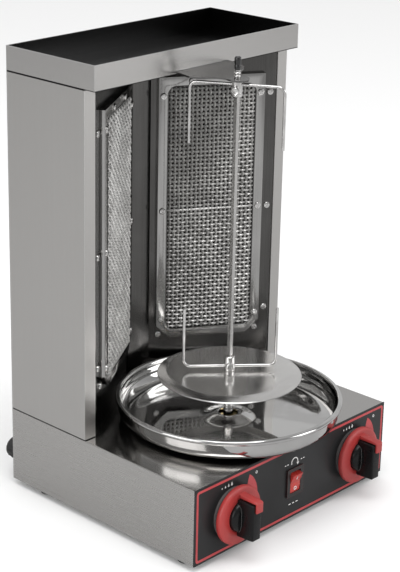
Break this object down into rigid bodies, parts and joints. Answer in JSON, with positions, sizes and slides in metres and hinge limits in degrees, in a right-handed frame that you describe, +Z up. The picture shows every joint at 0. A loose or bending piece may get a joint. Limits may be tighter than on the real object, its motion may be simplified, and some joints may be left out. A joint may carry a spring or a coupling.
{
  "type": "vertical kebab grill",
  "caption": "Table-top vertical broiler with a motor-driven spit, forks, drip pan, infrared gas burners set in a V, warming tray and control base.",
  "frame": {"origin": "on the table surface, at the middle of the whole object's footprint, which is the middle of the base", "axes": "+Z up along the spit; -Y is the front with the knobs, +Y the back; +X is the user's right"},
  "size_m": [0.29, 0.3291, 0.468],
  "materials": {
    "case_steel": "brushed",
    "liner_steel": "polished",
    "polished_steel": "polished",
    "screw_steel": "polished",
    "mesh_wire": "woven, heat-dulled",
    "tile_ceramic": "rough",
    "burner_steel": "rolled",
    "brass": "machined",
    "copper": "drawn",
    "panel_black": "satin",
    "knob_red": "satin",
    "knob_black": "satin",
    "bezel_grey": "satin",
    "switch_black": "satin",
    "switch_red": "gloss",
    "foot_rubber": "matte",
    "motor_zinc": "zinc plated",
    "terminal_white": "matte"
  },
  "bodies": {
    "cabinet": {"base_bottom_plate": "case_steel", "base_rear_panel": "case_steel", "base_shell": "case_steel", "burner_box_left": "burner_steel", "burner_box_right": "burner_steel", "burner_frame_left": "liner_steel", "burner_frame_right": "liner_steel", "burner_mesh_left": "mesh_wire", "burner_mesh_right": "mesh_wire", "burner_screws_left": "screw_steel", "burner_screws_right": "screw_steel", "cabinet_back_panel": "case_steel", "cabinet_side_left": "case_steel", "cabinet_side_right": "case_steel", "cable_gland": "switch_black", "case_screws": "screw_steel", "centre_back_panel": "liner_steel", "ceramic_tiles_left": "tile_ceramic", "ceramic_tiles_right": "tile_ceramic", "control_panel": "panel_black", "drive_bush": "brass", "foot_screws": "screw_steel", "gas_injector_left": "brass", "gas_injector_right": "brass", "gas_inlet_fitting": "brass", "gas_manifold": "brass", "gas_tube_left": "copper", "gas_tube_right": "copper", "gas_valve_left": "brass", "gas_valve_right": "brass", "gear_motor": "motor_zinc", "knob_bezels": "bezel_grey", "mixing_tube_left": "burner_steel", "mixing_tube_right": "burner_steel", "motor_bracket": "burner_steel", "rubber_feet": "foot_rubber", "spit_top_bracket": "polished_steel", "switch_housing": "switch_black", "terminal_block": "terminal_white", "top_tray": "case_steel", "wing_panel_left": "liner_steel", "wing_panel_right": "liner_steel", "wing_screws": "screw_steel"},
    "spit": {"spit_rod": "polished_steel", "spit_cap": "knob_black", "spit_disc": "polished_steel", "drive_socket": "polished_steel", "drive_shaft": "screw_steel"},
    "upper_fork": {"upper_fork": "polished_steel"},
    "upper_clamp": {"upper_fork_screw": "screw_steel"},
    "lower_fork": {"lower_fork": "polished_steel"},
    "lower_clamp": {"lower_fork_screw": "screw_steel"},
    "pan": {"drip_pan": "polished_steel"},
    "stem_left": {"valve_stem_left": "screw_steel"},
    "knob_left": {"knob_skirt_left": "knob_red", "knob_grip_left": "knob_black"},
    "stem_right": {"valve_stem_right": "screw_steel"},
    "knob_right": {"knob_skirt_right": "knob_red", "knob_grip_right": "knob_black"},
    "rocker": {"switch_rocker": "switch_red"}
  },
  "joints": [
    {"name": "spit_drive", "type": "hinge", "parent": "cabinet", "child": "spit", "pos_m": [0, -0.04, 0.1], "axis": [0, 0, 1], "continuous": true},
    {"name": "upper_fork_slide", "type": "slide", "parent": "spit", "child": "upper_fork", "axis": [0, 0, 1], "range_m": [-0.125, 0]},
    {"name": "lower_fork_slide", "type": "slide", "parent": "spit", "child": "lower_fork", "axis": [0, 0, 1], "range_m": [0, 0.125]},
    {"name": "upper_clamp_turn", "type": "hinge", "parent": "upper_fork", "child": "upper_clamp", "pos_m": [0, -0.04, 0.4305], "axis": [-0.8746, -0.4848, 0], "range_deg": [0, 360]},
    {"name": "lower_clamp_turn", "type": "hinge", "parent": "lower_fork", "child": "lower_clamp", "pos_m": [0, -0.04, 0.145], "axis": [-0.6691, -0.7431, 0], "range_deg": [0, 360]},
    {"name": "pan_lift", "type": "slide", "parent": "cabinet", "child": "pan", "axis": [0, 0, 1], "range_m": [0, 0.018]},
    {"name": "knob_left_push", "type": "slide", "parent": "cabinet", "child": "stem_left", "axis": [0, 1, 0], "range_m": [0, 0.003], "stiffness_N_per_m": 1500},
    {"name": "knob_left_turn", "type": "hinge", "parent": "stem_left", "child": "knob_left", "pos_m": [-0.0925, -0.13, 0.046], "axis": [0, 1, 0], "range_deg": [0, 210]},
    {"name": "knob_right_push", "type": "slide", "parent": "cabinet", "child": "stem_right", "axis": [0, 1, 0], "range_m": [0, 0.003], "stiffness_N_per_m": 1500},
    {"name": "knob_right_turn", "type": "hinge", "parent": "stem_right", "child": "knob_right", "pos_m": [0.0925, -0.13, 0.046], "axis": [0, 1, 0], "range_deg": [0, 210]},
    {"name": "rocker_tip", "type": "hinge", "parent": "cabinet", "child": "rocker", "pos_m": [0, -0.126, 0.046], "axis": [-1, 0, 0], "range_deg": [0, 22]}
  ]
}
